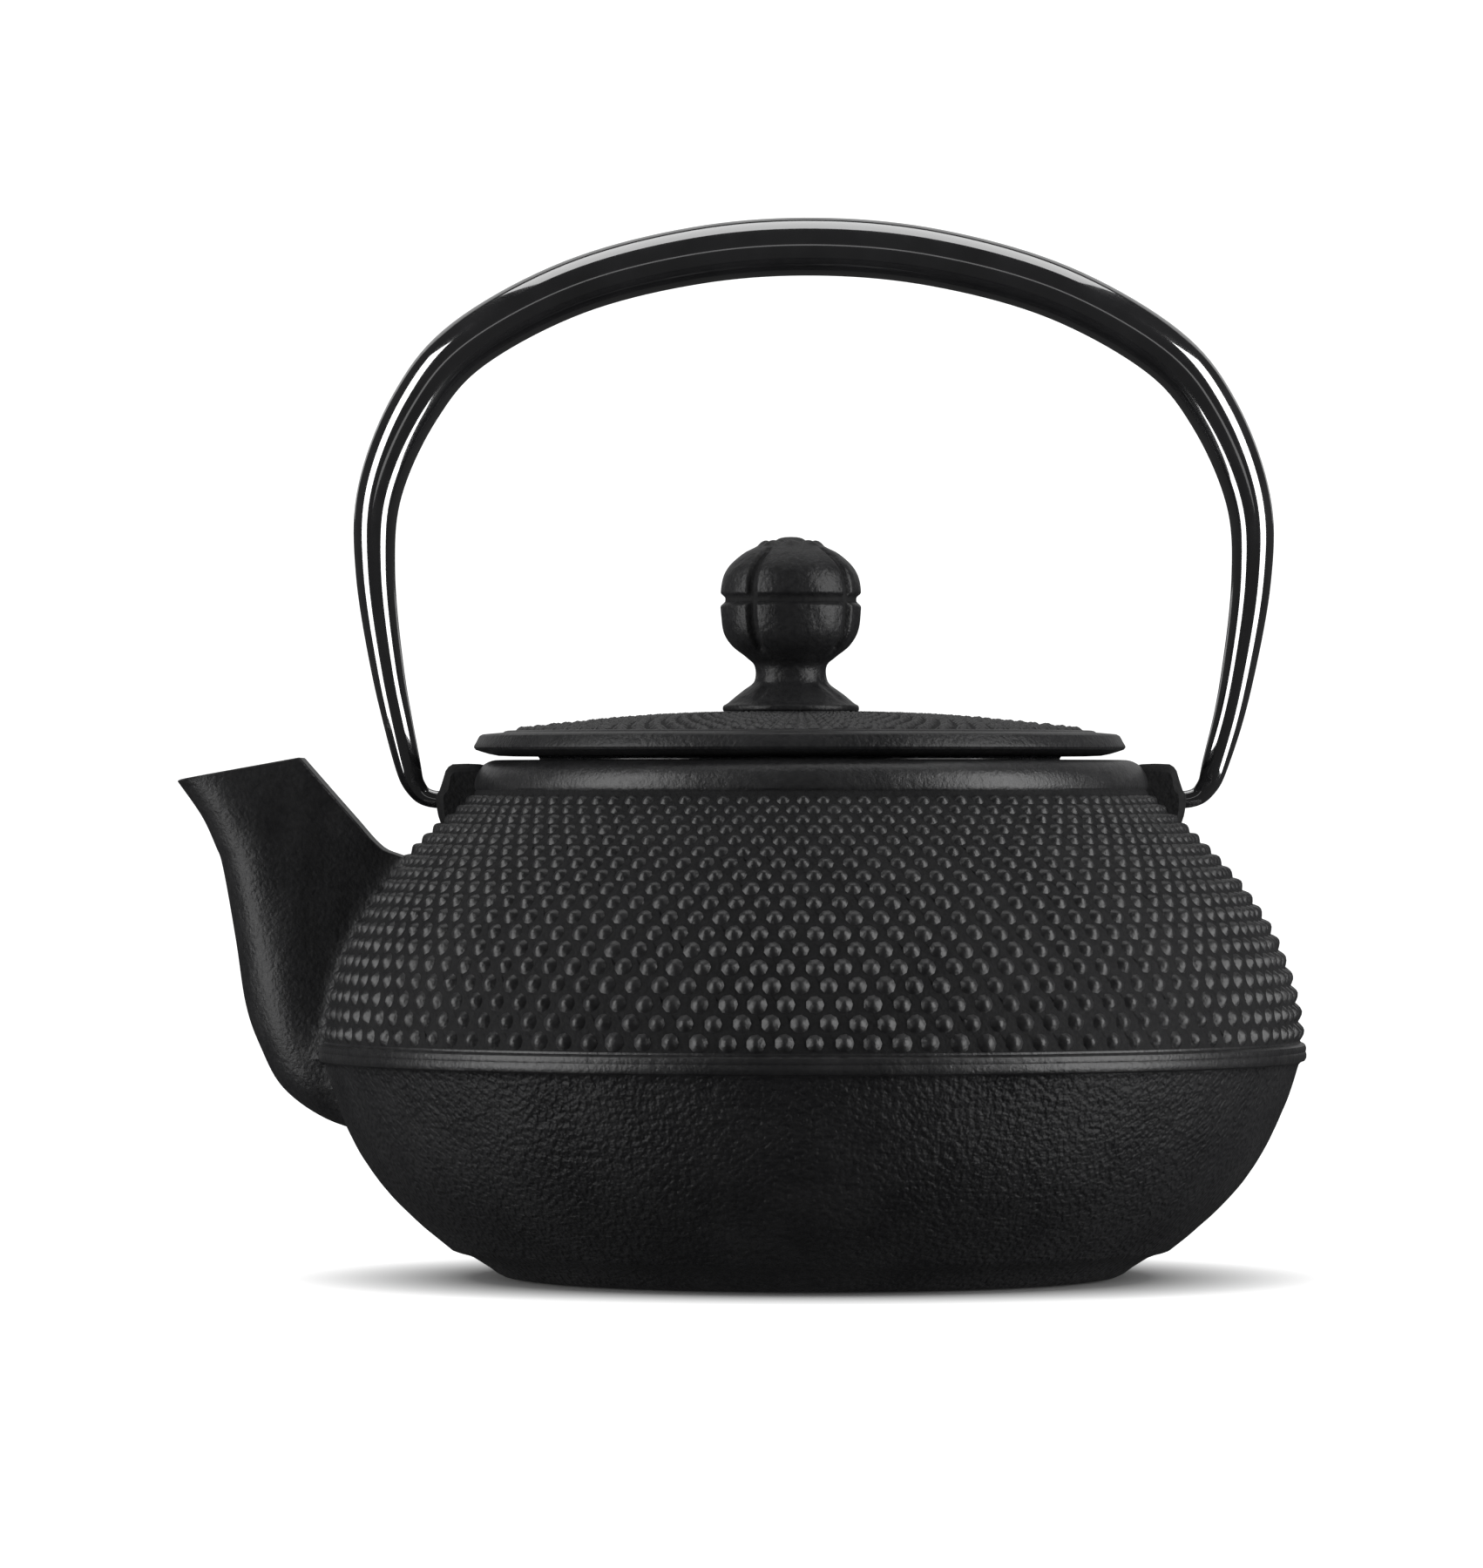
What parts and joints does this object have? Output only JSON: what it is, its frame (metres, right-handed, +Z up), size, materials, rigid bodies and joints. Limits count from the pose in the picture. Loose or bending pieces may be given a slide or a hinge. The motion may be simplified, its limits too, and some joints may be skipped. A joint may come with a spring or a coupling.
{
  "type": "cast iron teapot",
  "caption": "Low round cast iron teapot with a hobnail upper body, fixed spout, swing bail, flat domed lid with ball knob and a hanging tea strainer.",
  "frame": {"origin": "middle of the flat base, on the pot's axis", "axes": "+Z up along the pot's axis; spout towards -X; the bail hangs on ears at both ends of X and stands in the XZ plane"},
  "size_m": [0.174, 0.1524, 0.1632],
  "materials": {
    "cast_iron": "matte charcoal black, sand cast, dark enamel inside",
    "black_lacquer": "gloss black lacquer on sheet steel",
    "plain_steel": "plain bright steel",
    "stainless_steel": "satin stainless"
  },
  "bodies": {
    "pot": {"pot_upper": "cast_iron", "pot_lower": "cast_iron", "pot_spout": "cast_iron"},
    "bail": {"bail_handle": "black_lacquer"},
    "strainer": {"strainer_rim": "stainless_steel", "strainer_wall": "stainless_steel", "strainer_floor": "stainless_steel", "strainer_foot_ring": "stainless_steel"},
    "lid": {"lid_plate": "cast_iron", "lid_knob": "cast_iron", "knob_stud": "plain_steel", "stud_washer": "plain_steel"}
  },
  "joints": [
    {"name": "bail_swing", "type": "hinge", "parent": "pot", "child": "bail", "pos_m": [0, 0, 0.0736], "axis": [1, 0, 0], "range_deg": [-104, 104]},
    {"name": "strainer_lift", "type": "slide", "parent": "pot", "child": "strainer", "axis": [0, 0, 1], "range_m": [0, 0.038]},
    {"name": "lid_lift", "type": "slide", "parent": "strainer", "child": "lid", "axis": [0, 0, 1], "range_m": [0, 0.038]}
  ]
}
